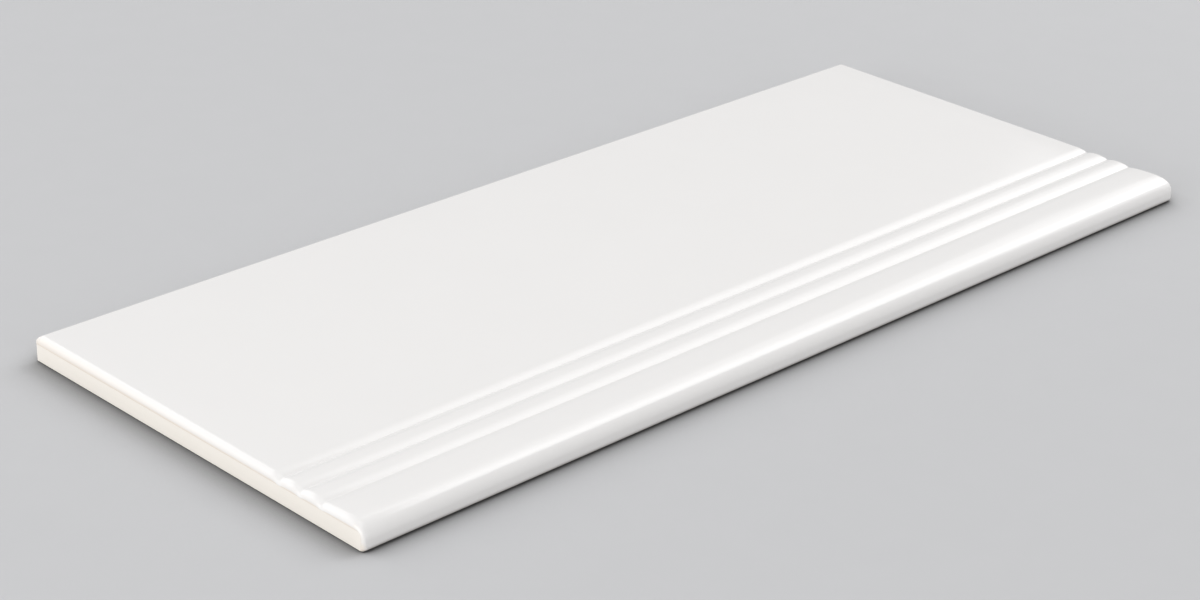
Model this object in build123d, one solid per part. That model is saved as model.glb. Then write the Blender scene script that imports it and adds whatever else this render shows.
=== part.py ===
from build123d import *
import math
import os

# Stair tread tile: one pressed and fired ceramic plate, glazed on top and over its rounded nosing.
# X runs along the step, -Y is the nosing at the front, +Y is the edge against the riser, and Z is up.
# The origin is the middle of the footprint, on the plane that the tile is bedded on. All sizes in mm.

# Plate
tile_length = 600.0
tile_width = 255.0
tile_thickness = 14.0

# Nosing, the rounded front edge. Its foot meets the bed at an angle, as a pressed edge does,
# and a flatter brow leads from the round up to the crest of the tread
nosing_foot_radius = 3.2
nosing_foot_angle = 70.0
nosing_radius = 8.0
nosing_brow_radius = 38.0
crest_from_nosing = 12.5

# Rounded arrises that carry the glaze over the other edges, and the small flat at the foot of each
back_arris_radius = 4.0
end_arris_radius = 3.0
foot_chamfer = 0.5

# Nosing strip: the tread in front of the grooves, which falls from the crest to its shoulder
strip_fall = 0.5
strip_shoulder_width = 5.5

# Anti-slip reeding: grooves between crowned ribs, parallel to the nosing
groove_count = 3
groove_pitch = 15.0
groove_depth = 1.4
groove_floor_radius = 1.5
front_groove_from_nosing = 30.0
rib_crown_width = 4.0
rib_crown_radius = 30.0
tread_shoulder_width = 6.5

# Keyed back: a grid of shallow recesses with sloping walls inside a plain border, for the adhesive
key_border = 12.0
key_recess_depth = 0.8
key_recess_size = 28.0
key_rib_width = 4.0
key_recess_corner_cut = 2.0
key_wall_slope = 30.0

front_y = -tile_width / 2
back_y = tile_width / 2
top_z = tile_thickness


def crown_radius(half_width, rise):
    """Radius of an arc that is level at its crown and falls by rise over half_width."""
    return (half_width**2 + rise**2) / (2 * rise)


def groove_positions():
    """Y of the bottom of each groove, from the nosing backwards."""
    first = front_y + front_groove_from_nosing
    return [first + number * groove_pitch for number in range(groove_count)]


def nosing_outline():
    """From the bed to the crest: foot round, upright face, nosing round and brow."""
    foot_turn = math.radians(nosing_foot_angle)
    foot_y = front_y + nosing_foot_radius * (1 - math.cos(foot_turn))
    foot_centre = (front_y + nosing_foot_radius, nosing_foot_radius * math.sin(foot_turn))
    centre_distance = nosing_brow_radius - nosing_radius
    brow_turn = math.asin((crest_from_nosing - nosing_radius) / centre_distance)
    brow_centre = (front_y + crest_from_nosing, top_z - nosing_brow_radius)
    round_centre = (front_y + nosing_radius, brow_centre[1] + centre_distance * math.cos(brow_turn))
    brow_degrees = math.degrees(brow_turn)
    return [
        CenterArc(foot_centre, nosing_foot_radius, 180, nosing_foot_angle),
        Line((front_y, foot_centre[1]), (front_y, round_centre[1])),
        CenterArc(round_centre, nosing_radius, 90 + brow_degrees, 90 - brow_degrees),
        CenterArc(brow_centre, nosing_brow_radius, 90, brow_degrees),
    ], foot_y


def strip_outline(first_groove_y):
    """The strip that falls away from the crest, and its short shoulder down into the first groove."""
    crest = (front_y + crest_from_nosing, top_z)
    shoulder = (first_groove_y - strip_shoulder_width, top_z - strip_fall)
    strip_run = shoulder[0] - crest[0]
    slope = math.asin(strip_run / crown_radius(strip_run, strip_fall))
    groove_floor = (first_groove_y, top_z - groove_depth)
    return [
        TangentArc(crest, shoulder, tangent=(1, 0)),
        TangentArc(shoulder, groove_floor, tangent=(math.cos(slope), -math.sin(slope))),
    ]


def rib_outline(near, far):
    """One rib between two grooves: a gently crowned top and two curved flanks."""
    floor_z = top_z - groove_depth
    middle = (near + far) / 2
    half_crown = rib_crown_width / 2
    slope = math.asin(half_crown / rib_crown_radius)
    crown_edge_z = top_z - rib_crown_radius * (1 - math.cos(slope))
    near_edge = (middle - half_crown, crown_edge_z)
    far_edge = (middle + half_crown, crown_edge_z)
    return [
        TangentArc(near_edge, (near, floor_z), tangent=(-math.cos(slope), -math.sin(slope))),
        ThreePointArc(near_edge, (middle, top_z), far_edge),
        TangentArc(far_edge, (far, floor_z), tangent=(math.cos(slope), -math.sin(slope))),
    ]


def reeding_outline(grooves):
    """The ribs from groove to groove, and the last shoulder, which runs out level in the flat tread."""
    ribs = [curve for near, far in zip(grooves, grooves[1:]) for curve in rib_outline(near, far)]
    shoulder_end = (grooves[-1] + tread_shoulder_width, top_z)
    last_floor = (grooves[-1], top_z - groove_depth)
    return ribs + [TangentArc(shoulder_end, last_floor, tangent=(-1, 0))], shoulder_end


def tile_section():
    """The tile's section as a face in Y and Z, with the floor of every groove rounded by the glaze."""
    grooves = groove_positions()
    nosing, foot_y = nosing_outline()
    strip = strip_outline(grooves[0])
    reeding, tread_start = reeding_outline(grooves)
    back_centre = (back_y - back_arris_radius, top_z - back_arris_radius)
    tread_and_back = [
        Line(tread_start, (back_y - back_arris_radius, top_z)),
        CenterArc(back_centre, back_arris_radius, 0, 90),
        Line((back_y, top_z - back_arris_radius), (back_y, 0)),
        Line((back_y, 0), (foot_y, 0)),
    ]
    face = make_face(Curve() + nosing + strip + reeding + tread_and_back)
    floors = [
        corner
        for corner in face.vertices()
        if any(abs(corner.X - y) < groove_floor_radius / 2 for y in grooves) and corner.Y > top_z / 2
    ]
    return fillet(floors, groove_floor_radius)


def plate():
    """The section run along the step, with rounded end arrises and a small chamfer round the foot."""
    body = extrude(Plane.YZ * tile_section(), tile_length / 2, both=True)
    for end_x in (-tile_length / 2, tile_length / 2):
        outline = body.edges().filter_by_position(Axis.X, end_x, end_x)
        above_bed = outline.filter_by(lambda edge: edge.center().Z > foot_chamfer)
        body = fillet(above_bed, end_arris_radius)
    bed_outline = body.faces().sort_by(Axis.Z)[0].outer_wire().edges()
    behind_nosing = bed_outline.filter_by(lambda edge: edge.center().Y > front_y + nosing_radius)
    return chamfer(behind_nosing, foot_chamfer)


def key_recesses():
    """Cutters for the keyed back: square recesses with cut corners and sloping walls."""
    pitch = key_recess_size + key_rib_width
    columns = int((tile_length - 2 * key_border + key_rib_width) // pitch)
    rows = int((tile_width - 2 * key_border + key_rib_width) // pitch)
    square = Rectangle(key_recess_size, key_recess_size)
    mouth = chamfer(square.vertices(), key_recess_corner_cut)
    recess = extrude(mouth, key_recess_depth, taper=key_wall_slope)
    return [place * recess for place in GridLocations(pitch, pitch, columns, rows)]


tile = plate() - key_recesses()

os.makedirs("parts", exist_ok=True)
export_step(tile, "parts/stair_tread_tile.step")
print("stair_tread_tile", tile.bounding_box().size, "volume", round(tile.volume / 1000, 1), "cm3")
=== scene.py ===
# %% [markdown]
# # A glazed stair tread tile
#
# A tread tile covers one step of a stair. It is pressed from clay powder, glazed and fired in one
# piece: a flat plate with a rounded nosing at the front and three anti-slip grooves behind it.
# This lesson dresses the imported solid: it builds a finer skin inside the solid's box, gives it a
# gloss glaze and a bare biscuit, and then sets up a floor, lamps and a camera.
#
# The frame comes first. It is the tile's construction, in metres: X runs along the step, -Y is the
# nosing, +Y is the edge against the riser, and Z is up. Its box gives the tile's sizes.

import math

import bmesh
import bpy
import numpy as np
from mathutils import Euler, Matrix, Vector


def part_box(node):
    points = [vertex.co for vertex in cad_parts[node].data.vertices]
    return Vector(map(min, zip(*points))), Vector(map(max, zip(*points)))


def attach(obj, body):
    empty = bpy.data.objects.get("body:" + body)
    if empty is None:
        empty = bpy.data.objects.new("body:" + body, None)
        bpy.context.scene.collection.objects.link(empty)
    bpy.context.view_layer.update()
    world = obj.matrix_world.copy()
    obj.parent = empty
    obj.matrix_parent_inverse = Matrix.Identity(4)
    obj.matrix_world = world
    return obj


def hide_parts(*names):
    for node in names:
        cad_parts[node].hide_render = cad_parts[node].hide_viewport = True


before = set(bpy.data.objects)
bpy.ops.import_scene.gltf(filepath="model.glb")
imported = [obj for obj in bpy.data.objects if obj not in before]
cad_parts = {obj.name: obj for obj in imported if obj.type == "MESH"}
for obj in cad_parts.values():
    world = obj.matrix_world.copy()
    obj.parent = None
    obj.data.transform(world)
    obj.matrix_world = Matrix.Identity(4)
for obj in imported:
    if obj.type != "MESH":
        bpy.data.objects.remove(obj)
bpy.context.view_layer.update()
MM = 0.001
low, high = (np.array(corner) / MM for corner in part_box("stair_tread_tile"))
length, width, thickness = high - low
front, back = low[1], high[1]
print(f"tile {length:.1f} by {width:.1f} by {thickness:.1f} mm")

# %% [markdown]
# ## The section
#
# Seen from its end, the top of the tile is a chain of rounds that run smoothly into each other:
# foot, nosing, brow, strip, and then hollow and rounded turns for the grooves and ribs. A round is
# kept as a centre and a radius, and a hollow one has a negative radius. The outward normal of a
# round turns from one angle to the next, so the same numbers give both the points and the normals.
# A curve object or a bevel could draw this too, but rounds keep the gloss free of flats and kinks.

# %% Rounds and how they join
def normal(angle):
    """The outward normal at an angle in degrees: 90 is up, 180 is out over the nosing."""
    return np.array([math.cos(math.radians(angle)), math.sin(math.radians(angle))])


def round_through(start, angle, end):
    """The round whose normal is at angle where it passes start, and which also passes end."""
    way = end - start
    radius = -(way @ way) / (2 * (way @ normal(angle)))
    return start - radius * normal(angle), radius


def hollow_between(front_flank, back_flank, radius):
    """The hollow round that touches the flank in front of a groove and the flank behind it."""
    (front_centre, front_radius), (back_centre, back_radius) = front_flank, back_flank
    reach_front, reach_back = front_radius + radius, back_radius + radius
    gap = np.linalg.norm(back_centre - front_centre)
    along = (back_centre - front_centre) / gap
    upward = np.array([-along[1], along[0]])
    run = (reach_front**2 - reach_back**2 + gap**2) / (2 * gap)
    return front_centre + run * along + math.sqrt(reach_front**2 - run**2) * upward, -radius


def joint(first, second):
    """The angle of the normal where one round runs into the next."""
    across = (first[0] - second[0]) / (second[1] - first[1])
    return math.degrees(math.atan2(across[1], across[0]))


# %% Nosing and strip
FOOT_RADIUS, FOOT_ANGLE, FOOT_CHAMFER = 3.2, 70.0, 0.5
NOSING_RADIUS, BROW_RADIUS, CREST = 8.0, 38.0, 12.5
STRIP_FALL, STRIP_SHOULDER = 0.5, 5.5
GROOVE_COUNT, FIRST_GROOVE, GROOVE_PITCH = 3, 30.0, 15.0
GROOVE_DEPTH, FLOOR_RADIUS = 1.4, 1.5
RIB_CROWN, RIB_CROWN_RADIUS, TREAD_SHOULDER = 4.0, 30.0, 6.5
BACK_ARRIS = 4.0

foot_height = FOOT_RADIUS * math.sin(math.radians(FOOT_ANGLE))
foot = (np.array([front + FOOT_RADIUS, foot_height]), FOOT_RADIUS)
brow = (np.array([front + CREST, thickness - BROW_RADIUS]), BROW_RADIUS)
nosing_run = NOSING_RADIUS - CREST
nosing_rise = math.sqrt((BROW_RADIUS - NOSING_RADIUS) ** 2 - nosing_run**2)
nosing = (brow[0] + np.array([nosing_run, nosing_rise]), NOSING_RADIUS)

crest = np.array([front + CREST, thickness])
shoulder_start = np.array([front + FIRST_GROOVE - STRIP_SHOULDER, thickness - STRIP_FALL])
strip = round_through(crest, 90, shoulder_start)
strip_end = math.degrees(math.acos((shoulder_start[0] - crest[0]) / strip[1]))
print(f"nosing centre {nosing[0].round(2)}, strip ends with its normal at {strip_end:.1f} degrees")

# %% Grooves and ribs
grooves = [
    np.array([front + FIRST_GROOVE + GROOVE_PITCH * i, thickness - GROOVE_DEPTH])
    for i in range(GROOVE_COUNT)
]
rounds = [(foot, 180), (nosing, joint(nosing, brow)), (brow, 90), (strip, strip_end)]
front_flank = round_through(shoulder_start, strip_end, grooves[0])
crown_tilt = math.degrees(math.asin(RIB_CROWN / 2 / RIB_CROWN_RADIUS))
for groove, behind in zip(grooves, grooves[1:] + [None]):
    if behind is None:
        back_flank = round_through(np.array([groove[0] + TREAD_SHOULDER, thickness]), 90, groove)
    else:
        rib_y = (groove[0] + behind[0]) / 2
        crown = (np.array([rib_y, thickness - RIB_CROWN_RADIUS]), RIB_CROWN_RADIUS)
        rising = crown[0] + RIB_CROWN_RADIUS * normal(90 + crown_tilt)
        back_flank = round_through(rising, 90 + crown_tilt, groove)
    hollow = hollow_between(front_flank, back_flank, FLOOR_RADIUS)
    rounds += [(front_flank, joint(front_flank, hollow)), (hollow, joint(hollow, back_flank))]
    if behind is None:
        rounds.append((back_flank, 90))
    else:
        rounds += [(back_flank, 90 + crown_tilt), (crown, 90 - crown_tilt)]
        falling = crown[0] + RIB_CROWN_RADIUS * normal(90 - crown_tilt)
        front_flank = round_through(falling, 90 - crown_tilt, behind)
rounds.append(((np.array([back - BACK_ARRIS, thickness - BACK_ARRIS]), BACK_ARRIS), 0))
print(len(rounds), "rounds from the foot of the nosing to the back arris")

# %% [markdown]
# ## Points, normals and glaze
#
# The rounds become points, each with its normal and the thickness of the glaze on it. Molten glaze
# creeps off sharp rounds and pools in hollows, so its thickness follows the radius, and it thins
# towards the foot. The back face is wiped clean below its arris before the fire, so the glaze ends
# there in a low step: a brink, a short slope and the bare band under it. Sizes here are in mm.

# %% Section points
ARC_STEP, LEAST_STEPS = 3.0, 4
GLAZE_FULL, CREEP_RADIUS = 0.40, 1.0
FOOT_FADE, FOOT_SHARE = 1.8, 0.25
GLAZE_LINE, GLAZE_STEP, STEP_SLOPE = thickness - 4.4, 0.12, 0.3
BRINK_COAT, SLOPE_COAT, BRINK_RISE = 0.12, 0.05, 0.15
BARE_BAND, BARE_POINTS = 1.2, 3
SAME_PLACE, NOT_ZERO = 1e-6, 1e-9
foot_start = 180 + math.degrees(math.asin((foot[0][1] - FOOT_CHAMFER) / FOOT_RADIUS))

points, normals, glaze = [], [], []
angle = foot_start
for (centre, radius), last in rounds:
    steps = max(LEAST_STEPS, round(abs(last - angle) / ARC_STEP))
    for turn in np.linspace(angle, last, steps + 1):
        points.append(centre + radius * normal(turn))
        normals.append(normal(turn))
        creep = min(1.0, FOOT_SHARE + (1 - FOOT_SHARE) * points[-1][1] / FOOT_FADE)
        glaze.append(GLAZE_FULL * (1 - CREEP_RADIUS / radius) * creep)
    angle = last
for y, z, coat in (
    (back, GLAZE_LINE + BRINK_RISE, BRINK_COAT),
    (back - STEP_SLOPE * GLAZE_STEP, GLAZE_LINE, SLOPE_COAT),
    (back - GLAZE_STEP, GLAZE_LINE - GLAZE_STEP, 0.0),
    (back - GLAZE_STEP, GLAZE_LINE - BARE_BAND, 0.0),
    (back - GLAZE_STEP, FOOT_CHAMFER, 0.0),
):
    points.append(np.array([y, z]))
    normals.append(normal(0))
    glaze.append(coat)
keep = [0]
keep += [
    i for i in range(1, len(points)) if np.linalg.norm(points[i] - points[i - 1]) > SAME_PLACE
]
points, normals, glaze = (np.array(values)[keep] for values in (points, normals, glaze))
back_line = len(points) - BARE_POINTS
print(len(points), "points in the section")

# %% [markdown]
# ## The skin
#
# The section is swept along the step as a row of rings. At each end the rings turn over the arris
# like a ball that rolls along the edge: each ring is a little further in along the normals and a
# little further out along X. The arris is wider on top than down the corners.
#
# Past the arris the end is wiped clean before the fire, so the glaze stops in a straight line with
# a low step, and the bare end face begins. That line is an outline with one round corner, and the
# last rings are pulled inside it: a point outside it moves to it, and one inside it stays, so
# nothing folds. A ball rolled by a bevel would be quicker, but it has one radius all the way round.

# %% Rings
ROLL_RUN, ROLL_DROP = 3.8, 3.0
FRONT_CORNER, BACK_CORNER = 2.0, 1.4
TOP_NORMAL, TOP_EASE, ROLL_STEPS = 0.9, 4, 14
LINE_FROM_FRONT, LINE_ROUND, LINE_TOUCH = 2.4, 1.5, 0.01
COATED, END_THINNING = 0.2, 0.12
MIDDLE_START, MIDDLE_RINGS = 20.0, 29
half = length / 2

onto_top = np.clip(normals[:, 1] / TOP_NORMAL, 0, 1) ** TOP_EASE
corner = np.where(normals[:, 0] < 0, FRONT_CORNER, BACK_CORNER)
run = corner + (ROLL_RUN - corner) * onto_top
drop = corner + (ROLL_DROP - corner) * onto_top
flat_normals = np.where(normals[:, 1:] < 0, [-1.0, 0.0], normals)
bare_back = (points[:, 0] > 0) & (points[:, 1] < GLAZE_LINE + LINE_TOUCH)
bare_depth = np.clip(back - points[:, 0], 0, GLAZE_STEP) * bare_back


def pulled_inside(outline, inset):
    """The section's points, with those outside the glaze line's outline moved onto it."""
    radius = LINE_ROUND - inset
    low_front = front + LINE_FROM_FRONT + inset + radius
    high_line = GLAZE_LINE - inset - radius
    inner = np.column_stack([
        np.maximum(outline[:, 0], low_front), np.minimum(outline[:, 1], high_line),
    ])
    out = outline - inner
    reach = np.maximum(np.linalg.norm(out, axis=1), NOT_ZERO)
    return inner + out * np.minimum(1, radius / reach)[:, None]


rolled, coats = [], []
for turn in np.radians(np.linspace(0, 90, ROLL_STEPS + 1)):
    outline = points - (drop * (1 - math.cos(turn)))[:, None] * flat_normals
    ring_x = half - bare_depth * math.sin(turn) - run * (1 - math.sin(turn))
    rolled.append(np.column_stack([ring_x, outline]))
    coats.append(glaze - END_THINNING * math.sin(turn) * (glaze > COATED))
for depth, inset, coat in (
    (0, -GLAZE_STEP, BRINK_COAT),
    (STEP_SLOPE * GLAZE_STEP, 0, SLOPE_COAT),
    (GLAZE_STEP, GLAZE_STEP, 0),
):
    outline = pulled_inside(outline, inset)
    rolled.append(np.column_stack([half - np.maximum(depth, bare_depth), outline]))
    coats.append(np.minimum(glaze, coat))
rings, coats = rolled[::-1], coats[::-1]
mirrored = [ring * [-1, 1, 1] for ring in rings]
middle = [
    np.column_stack([np.full(len(points), x), points])
    for x in np.linspace(-half + MIDDLE_START, half - MIDDLE_START, MIDDLE_RINGS)
]
stations = np.array(mirrored + middle + rings[::-1])
thick = np.array(coats + [glaze] * len(middle) + coats[::-1])
print(stations.shape[0], "rings of", stations.shape[1], "points")

# %% [markdown]
# ## The mesh
#
# The rings become a grid of four-sided faces, each glazed or bare, and every vertex keeps the coat
# of glaze on it for the material to read. A lofted surface would hide where the glaze stops, while
# a plain grid lets the last ring and the last points of the back be biscuit.

# %% Build the mesh
KEY_BORDER, KEY_SIZE, KEY_RIB = 12.0, 28.0, 4.0
KEY_DEPTH, KEY_SLOPE, KEY_CUT, KEY_FLOOR_CUT = 0.8, 30.0, 2.0, 1.8
LIP_RINGS = 1
GLAZED, BISCUIT = 0, 1

skin = bmesh.new()
coat_layer = skin.verts.layers.float.new("glaze_mm")
grid = [[skin.verts.new(Vector(point) * MM) for point in ring] for ring in stations]
for row, values in zip(grid, thick):
    for vert, value in zip(row, values):
        vert[coat_layer] = value


def face(corners, finish):
    """Adds one face, glazed or bare."""
    made = skin.faces.new(corners)
    made.material_index = finish


last_ring, last_point = len(grid) - 1, len(points) - 1
for i in range(last_ring):
    bare_end = i < LIP_RINGS or i >= last_ring - LIP_RINGS
    for j in range(last_point):
        finish = BISCUIT if bare_end or j >= back_line else GLAZED
        face((grid[i][j], grid[i + 1][j], grid[i + 1][j + 1], grid[i][j + 1]), finish)
face(grid[0], BISCUIT)
face(grid[-1][::-1], BISCUIT)
print(len(skin.faces), "faces from nosing to back")

# %% [markdown]
# The underside is keyed: a grid of shallow square recesses with sloping walls, which the adhesive
# bed fills. Cutting them with a boolean would break up the faces round them. Instead the bed face
# is filled round their mouths with a triangle fill, which copes with holes. A small chamfer leads
# from the foot to the bed, and at the nosing the foot's round runs down to it.

# %% Close the foot and the keyed back
foot_run = FOOT_RADIUS * (1 - math.cos(math.radians(FOOT_ANGLE))) - (points[0][0] - front)
rim = [row[0] for row in grid] + [row[-1] for row in reversed(grid)]
bed = []
for vert in rim:
    x, y = vert.co.x, vert.co.y
    inset = foot_run if y < 0 else -FOOT_CHAMFER
    bed.append(skin.verts.new(Vector((x * (1 - FOOT_CHAMFER / half), y + inset * MM, 0.0))))
for i in range(len(rim)):
    j = (i + 1) % len(rim)
    face((rim[j], rim[i], bed[i], bed[j]), BISCUIT)


def octagon(x, y, z, size, cut):
    """The corners of a square with its corners cut off."""
    far, near = size / 2, size / 2 - cut
    turns = [
        (near, -far), (far, -near), (far, near), (near, far),
        (-near, far), (-far, near), (-far, -near), (-near, -far),
    ]
    return [skin.verts.new(Vector((x + u, y + v, z)) * MM) for u, v in turns]


pitch = KEY_SIZE + KEY_RIB
columns = int((length - 2 * KEY_BORDER + KEY_RIB) // pitch)
rows = int((width - 2 * KEY_BORDER + KEY_RIB) // pitch)
slope_run = KEY_DEPTH * math.tan(math.radians(KEY_SLOPE))
outline = [skin.edges.get((bed[i - 1], bed[i])) for i in range(len(bed))]
for column in range(columns):
    for row in range(rows):
        x, y = pitch * (column - (columns - 1) / 2), pitch * (row - (rows - 1) / 2)
        mouth = octagon(x, y, 0, KEY_SIZE, KEY_CUT)
        floor_corners = octagon(x, y, KEY_DEPTH, KEY_SIZE - 2 * slope_run, KEY_FLOOR_CUT)
        for a in range(len(mouth)):
            b = (a + 1) % len(mouth)
            face((mouth[a], mouth[b], floor_corners[b], floor_corners[a]), BISCUIT)
            outline.append(skin.edges.get((mouth[a], mouth[b])))
        face(floor_corners, BISCUIT)
fill = bmesh.ops.triangle_fill(skin, edges=outline, use_beauty=True)
for made in fill["geom"]:
    if isinstance(made, bmesh.types.BMFace):
        made.material_index = BISCUIT
print(columns, "by", rows, "recesses,", len(skin.faces), "faces")

# %% [markdown]
# The last work on the mesh merges points that lie on each other, turns all faces outwards and keeps
# only edges of more than 32 degrees sharp, so the rounds mirror smoothly. The skin takes the place
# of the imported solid, and it rides on the same body.

# %% Finish the mesh
MERGE_GAP, SHARP_EDGE = 1e-7, 32
bmesh.ops.remove_doubles(skin, verts=skin.verts, dist=MERGE_GAP)
bmesh.ops.recalc_face_normals(skin, faces=skin.faces)
open_edges = [edge for edge in skin.edges if len(edge.link_faces) != 2]
mesh = bpy.data.meshes.new("stair_tread_tile_skin")
skin.to_mesh(mesh)
skin.free()
mesh.polygons.foreach_set("use_smooth", [True] * len(mesh.polygons))
mesh.set_sharp_from_angle(angle=math.radians(SHARP_EDGE))
tile = bpy.data.objects.new("stair_tread_tile_skin", mesh)
bpy.context.scene.collection.objects.link(tile)
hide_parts("stair_tread_tile")
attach(tile, "root")
print(len(mesh.polygons), "faces,", len(open_edges), "open edges")

# %% [markdown]
# ## Colours and nodes
#
# Shaders work in linear light, while a colour given as a hex code is sRGB, so one function turns it
# to linear. A second one adds any node with its settings and links, and the small ones after it
# name the few things that every material here is made of: noise, a mix, a relief, a surface.

# %% Colour and node helpers
def colour(code):
    """An sRGB hex colour as linear RGBA."""
    channels = [int(code[i:i + 2], 16) / 255 for i in (1, 3, 5)]
    linear = [c / 12.92 if c <= 0.04045 else ((c + 0.055) / 1.055) ** 2.4 for c in channels]
    return (*linear, 1.0)


def add(tree, kind, inputs=(), **settings):
    """Adds a node. Each input is a value, or an output socket to link."""
    made = tree.nodes.new(kind)
    for name, value in settings.items():
        setattr(made, name, value)
    for name, value in dict(inputs).items():
        if isinstance(value, bpy.types.NodeSocket):
            tree.links.new(value, made.inputs[name])
        else:
            made.inputs[name].default_value = value
    return made


def noise(tree, place, size, **values):
    """A cloudy grey whose clouds are about size metres wide."""
    inputs = {"Vector": place, "Scale": 1 / size, **values}
    return add(tree, "ShaderNodeTexNoise", inputs).outputs["Fac"]


def mixed(tree, factor, first, second):
    """The colour that lies between two colours by a factor."""
    inputs = {"Factor": factor, "A": first, "B": second}
    return add(tree, "ShaderNodeMix", inputs, data_type="RGBA").outputs["Result"]


def relief(tree, height, depth, strength=1.0):
    """The normal of a surface that a height raises by up to depth metres."""
    inputs = {"Height": height, "Strength": strength, "Distance": depth}
    return add(tree, "ShaderNodeBump", inputs).outputs["Normal"]


def surface(tree, base, roughness, ior, bumps):
    """The shader of the whole surface, and the tree's output."""
    inputs = {"Base Color": base, "Roughness": roughness, "IOR": ior, "Normal": bumps}
    shader = add(tree, "ShaderNodeBsdfPrincipled", inputs)
    add(tree, "ShaderNodeOutputMaterial", {"Surface": shader.outputs["BSDF"]})


def new_material(name):
    """An empty material, its node tree, and its object coordinates."""
    material = bpy.data.materials.new(name)
    material.use_nodes = True
    material.node_tree.nodes.clear()
    place = add(material.node_tree, "ShaderNodeTexCoord").outputs["Object"]
    return material, material.node_tree, place


print("mid grey, linear:", round(colour("#808080")[0], 3))

# %% [markdown]
# ## Opaque white gloss glaze
#
# The glaze is glass made white with fine crystals. It is sprayed on thin and melts in the kiln, so
# it has a soft gloss with faint, slow waves, and where it is thin the cream body warms its colour.
# Its IOR is that of glass with zircon in it, a little above window glass. The colour follows the
# coat that each point of the mesh carries, so it changes where the glaze is thin and nowhere else.

# %% Glaze material
GLAZE_IOR, GLAZE_ROUGHNESS = 1.53, 0.11
SHEER_COAT, OPAQUE_COAT = 0.03, 0.30
GLAZE_CLOUD, GLAZE_WAVE, WAVE_DEPTH = 0.045, 0.011, 0.00002
glaze_material, tree, place = new_material("opaque_white_gloss_glaze")
coat = add(
    tree, "ShaderNodeAttribute", attribute_name="glaze_mm", attribute_type="GEOMETRY"
).outputs["Fac"]
cover = add(tree, "ShaderNodeMapRange", {
    "Value": coat, "From Min": SHEER_COAT, "From Max": OPAQUE_COAT,
}, interpolation_type="SMOOTHSTEP").outputs["Result"]
clouds = noise(tree, place, GLAZE_CLOUD, Detail=2.0)
full = mixed(tree, clouds, colour("#F0EEEC"), colour("#EEECEA"))
tint = mixed(tree, cover, colour("#E9DBC9"), full)
waves = relief(tree, noise(tree, place, GLAZE_WAVE, Detail=1.0, Roughness=0.4), WAVE_DEPTH)
surface(tree, tint, GLAZE_ROUGHNESS, GLAZE_IOR, waves)
mesh.materials.append(glaze_material)
print("glaze is opaque from", OPAQUE_COAT, "mm on")

# %% [markdown]
# ## Cream stoneware biscuit
#
# Where no glaze sits, the fired body shows: pressed clay powder, cream and matt, with a fine grain
# and a faint mottle. It needs no gloss, so a high roughness and two noises make it.

# %% Biscuit material
BISCUIT_IOR, BISCUIT_ROUGHNESS = 1.5, 0.75
MOTTLE_SIZE, GRAIN_SIZE, GRAIN_DEPTH = 0.009, 0.0006, 0.00005
biscuit_material, tree, place = new_material("cream_stoneware_biscuit")
mottle = noise(tree, place, MOTTLE_SIZE, Detail=4.0)
body = mixed(tree, mottle, colour("#EEE9E1"), colour("#ECE6DD"))
grain = relief(tree, noise(tree, place, GRAIN_SIZE, Detail=3.0), GRAIN_DEPTH)
surface(tree, body, BISCUIT_ROUGHNESS, BISCUIT_IOR, grain)
mesh.materials.append(biscuit_material)
print(len(mesh.materials), "materials on the tile")

# %% [markdown]
# ## The floor
#
# The photo's floor is a sheet of pale grey studio paper, matt and even, with a faint cloudiness of
# its fibres. A large plane does for it. The tile stands only 14 mm high in a bright, open studio,
# so lamps alone leave a weak shadow, while the photo has a deep one close to the tile. The paper's
# colour is therefore taken down by ambient occlusion, which measures how much of the sky the tile
# hides from each point, so the shade keeps to the tile from any side.

# %% Floor
FLOOR_SIZE, SHADE_REACH, SHADE_SAMPLES = 12.0, 0.15, 16
HIDDEN_SKY, OPEN_SKY, DEEPEST_SHADE = 0.43, 0.93, 0.18
PAPER_IOR, PAPER_ROUGHNESS = 1.4, 0.9
PAPER_CLOUD, PAPER_FIBRE, FIBRE_DEPTH, FIBRE_STRENGTH = 0.025, 0.0012, 0.0001, 0.3
side = FLOOR_SIZE / 2
floor_mesh = bpy.data.meshes.new("studio_floor")
floor_mesh.from_pydata(
    [(-side, -side, 0), (side, -side, 0), (side, side, 0), (-side, side, 0)], [], [(0, 1, 2, 3)]
)
floor = bpy.data.objects.new("studio_floor", floor_mesh)
bpy.context.scene.collection.objects.link(floor)
floor_material, tree, place = new_material("pale_grey_matt_paper")
sky = add(
    tree, "ShaderNodeAmbientOcclusion", {"Distance": SHADE_REACH}, samples=SHADE_SAMPLES
).outputs["AO"]
shade = add(tree, "ShaderNodeMapRange", {
    "Value": sky, "From Min": HIDDEN_SKY, "From Max": OPEN_SKY,
    "To Min": DEEPEST_SHADE, "To Max": 1.0,
}).outputs["Result"]
clouds = noise(tree, place, PAPER_CLOUD, Detail=3.0)
sheet = mixed(tree, clouds, colour("#C3C3C4"), colour("#C5C5C6"))
shaded = mixed(tree, shade, colour("#000000"), sheet)
fibres = relief(tree, noise(tree, place, PAPER_FIBRE, Detail=2.0), FIBRE_DEPTH, FIBRE_STRENGTH)
surface(tree, shaded, PAPER_ROUGHNESS, PAPER_IOR, fibres)
floor_mesh.materials.append(floor_material)
print("floor of", FLOOR_SIZE, "m, shaded up to", SHADE_REACH, "m from the tile")

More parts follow.
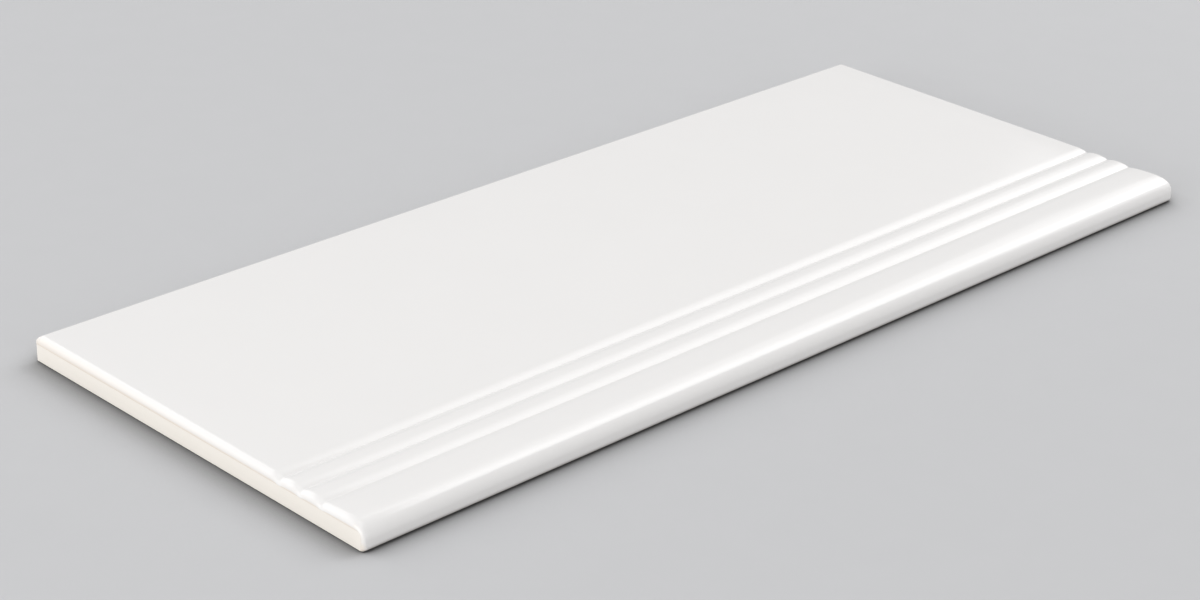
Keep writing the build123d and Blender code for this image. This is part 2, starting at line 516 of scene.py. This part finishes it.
# %% [markdown]
# ## The lamps
#
# A white gloss is seen by what it mirrors. The photo's nosing carries one narrow bright band, and
# the rounded end another, so two softboxes stand where those rounds mirror them. One is on the
# right and leans over the tile, and the other is behind on the left. The right one fades out to the
# back in four narrower strips, which gives the ribs their soft slopes. The flat tread mirrors the
# gap between the two, so it stays even. Panels on the left and in front, low and high, light the
# left end and the nosing, one on the right casts the tile's shadow to the left, and one overhead
# and a pale room fill the rest. A softbox is given by the brightness of its face, where 1 is white,
# so its power follows from its size.

# %% Softboxes
def softbox(name, place, facing, size, radiance):
    """A flat lamp of size metres that faces along facing."""
    lamp = bpy.data.lights.new(name, "AREA")
    lamp.shape = "RECTANGLE"
    lamp.size, lamp.size_y = size
    lamp.energy = radiance * math.pi * size[0] * size[1]
    holder = bpy.data.objects.new(name, lamp)
    holder.location = place
    holder.rotation_euler = Vector(facing).to_track_quat("-Z", "Y").to_euler()
    bpy.context.scene.collection.objects.link(holder)


FORWARD, BACKWARD, LEFT, RIGHT = (0, -1, 0), (0, 1, 0), (-1, 0, 0), (1, 0, 0)
DOWN, LEFT_AND_DOWN = (0, 0, -1), (-1, 0, -1)
RIGHT_X, RIGHT_HEIGHT, RIGHT_BREADTH = 2.635, 2.365, 2.16
for name, y_from, y_to, radiance in (
    ("right_softbox", -1.35, 0.30, 3.4),
    ("right_softbox_edge", 0.30, 1.05, 2.0),
    ("right_softbox_fade", 1.05, 1.40, 1.4),
    ("right_softbox_further_fade", 1.40, 1.75, 0.9),
    ("right_softbox_last_fade", 1.75, 2.20, 0.6),
):
    place = (RIGHT_X, (y_from + y_to) / 2, RIGHT_HEIGHT)
    softbox(name, place, LEFT_AND_DOWN, (y_to - y_from, RIGHT_BREADTH), radiance)
for name, place, facing, size, radiance in (
    ("back_softbox", (-0.95, 2.0, 1.45), FORWARD, (2.9, 1.9), 1.4),
    ("left_panel", (-2.4, 0.0, 0.45), RIGHT, (2.0, 0.7), 5.0),
    ("left_panel_high", (-2.4, 0.0, 1.2), RIGHT, (2.0, 0.8), 2.1),
    ("right_panel", (2.2, -0.4, 1.1), LEFT, (2.0, 1.0), 1.3),
    ("front_panel", (0.0, -2.4, 0.45), BACKWARD, (2.0, 0.7), 1.5),
    ("front_panel_high", (0.0, -2.4, 1.2), BACKWARD, (2.0, 0.8), 0.9),
    ("overhead_panel", (-0.5, -0.2, 2.6), DOWN, (1.6, 1.6), 0.7),
):
    softbox(name, place, facing, size, radiance)
print(len(bpy.data.lights), "softboxes")

# %% Room
ROOM_LEVEL = 0.46
world = bpy.data.worlds.new("soft_room")
bpy.context.scene.world = world
world.use_nodes = True
room = world.node_tree.nodes["Background"]
room.inputs["Color"].default_value = colour("#F4F5F7")
room.inputs["Strength"].default_value = ROOM_LEVEL
print("room at", ROOM_LEVEL, "of white")

# %% [markdown]
# ## The camera
#
# The photo looks down on the tile from the front left through a long lens. Place, angles and lens
# were solved from the corners and edges of the tile in the photo, so the outlines lie on each
# other. The lens is in mm on a sensor 36 mm wide, and the standard view shows colours as written.

# %% Camera
SENSOR_WIDTH, LENS = 36.0, 82.957
CAMERA_PLACE = (-0.96274, -0.94462, 0.6151)
HEADING, TILT, ROLL = 44.524, 25.056, 1.354
camera_data = bpy.data.cameras.new("camera")
camera_data.sensor_width = SENSOR_WIDTH
camera_data.lens = LENS
camera = bpy.data.objects.new("camera", camera_data)
aim = Euler((math.radians(90 - TILT), 0, math.radians(-HEADING))).to_matrix()
turn = aim @ Matrix.Rotation(math.radians(ROLL), 3, "Z")
camera.matrix_world = Matrix.Translation(CAMERA_PLACE) @ turn.to_4x4()
bpy.context.scene.collection.objects.link(camera)
bpy.context.scene.camera = camera
bpy.context.scene.view_settings.view_transform = "Standard"
print("camera", round(Vector(CAMERA_PLACE).length, 2), "m from the tile's middle")
